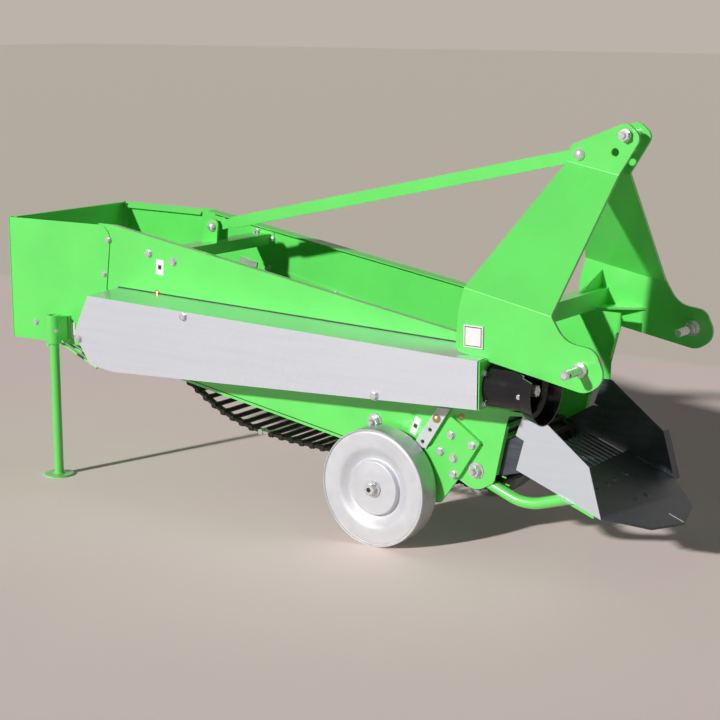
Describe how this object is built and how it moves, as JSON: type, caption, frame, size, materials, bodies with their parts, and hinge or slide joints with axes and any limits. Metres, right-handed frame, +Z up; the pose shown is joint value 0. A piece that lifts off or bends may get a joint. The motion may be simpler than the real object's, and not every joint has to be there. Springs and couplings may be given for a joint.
{
  "type": "single-row mounted potato digger",
  "caption": "Tractor-mounted single-row potato digger with a pointed share, sloping rod web, rear box with rod grate, drum wheels, headstock and side drive under a sheet cover.",
  "frame": {"origin": "on the ground under the middle of the machine's length and width", "axes": "+X forwards, towards the tractor; +Y to the machine's left; +Z up"},
  "size_m": [2.551, 0.992, 1.3365],
  "materials": {
    "green_paint": "gloss",
    "galvanised_steel": "satin",
    "share_steel": "satin",
    "dark_steel": "matte",
    "zinc_steel": "satin",
    "black_plastic": "matte"
  },
  "bodies": {
    "frame": {"brace_clevis": "green_paint", "brace_foot_bolt": "zinc_steel", "brace_head_bolt": "zinc_steel", "cover_end": "green_paint", "cross_tube": "green_paint", "drive_cover": "galvanised_steel", "front_cheek_left": "green_paint", "front_cheek_right": "green_paint", "gearbox": "green_paint", "headstock_plate_left": "green_paint", "headstock_plate_right": "green_paint", "lower_link_pin_left": "zinc_steel", "lower_link_pin_right": "zinc_steel", "pto_guard": "black_plastic", "rear_beam": "green_paint", "rear_box_end": "green_paint", "rear_box_side_left": "green_paint", "rear_box_side_right": "green_paint", "rear_grate": "green_paint", "rod_web": "dark_steel", "shaft_bearing": "dark_steel", "share_fingers": "share_steel", "share_floor": "share_steel", "share_skid_left": "green_paint", "share_skid_right": "green_paint", "share_wing_left": "share_steel", "share_wing_right": "share_steel", "side_panel_left": "green_paint", "side_panel_right": "green_paint", "stand_sleeve": "green_paint", "top_brace": "green_paint", "top_link_pin": "zinc_steel", "web_bearings_left": "dark_steel", "web_drive_shaft": "dark_steel", "web_front_roller": "dark_steel", "web_liner_left": "green_paint", "web_liner_right": "green_paint", "web_support_roller": "dark_steel", "wheel_arm_left": "green_paint", "wheel_arm_right": "green_paint", "wheel_strap_left": "galvanised_steel", "wheel_strap_right": "galvanised_steel"},
    "right_wheel": {"wheel_right": "galvanised_steel"},
    "left_wheel": {"wheel_left": "galvanised_steel"},
    "drive_line": {"power_shaft": "dark_steel"},
    "stand": {"stand_leg": "green_paint"}
  },
  "joints": [
    {"name": "wheel_right_spin", "type": "hinge", "parent": "frame", "child": "right_wheel", "pos_m": [0.3875, -0.346, 0.19], "axis": [0, 1, 0], "continuous": true},
    {"name": "wheel_left_spin", "type": "hinge", "parent": "frame", "child": "left_wheel", "pos_m": [0.3875, 0.346, 0.19], "axis": [0, 1, 0], "continuous": true},
    {"name": "power_shaft_spin", "type": "hinge", "parent": "frame", "child": "drive_line", "pos_m": [0.7, -0.356, 0.574], "axis": [1, 0, 0], "continuous": true},
    {"name": "stand_slide", "type": "slide", "parent": "frame", "child": "stand", "axis": [0, 0, 1], "range_m": [0, 0.3]}
  ]
}
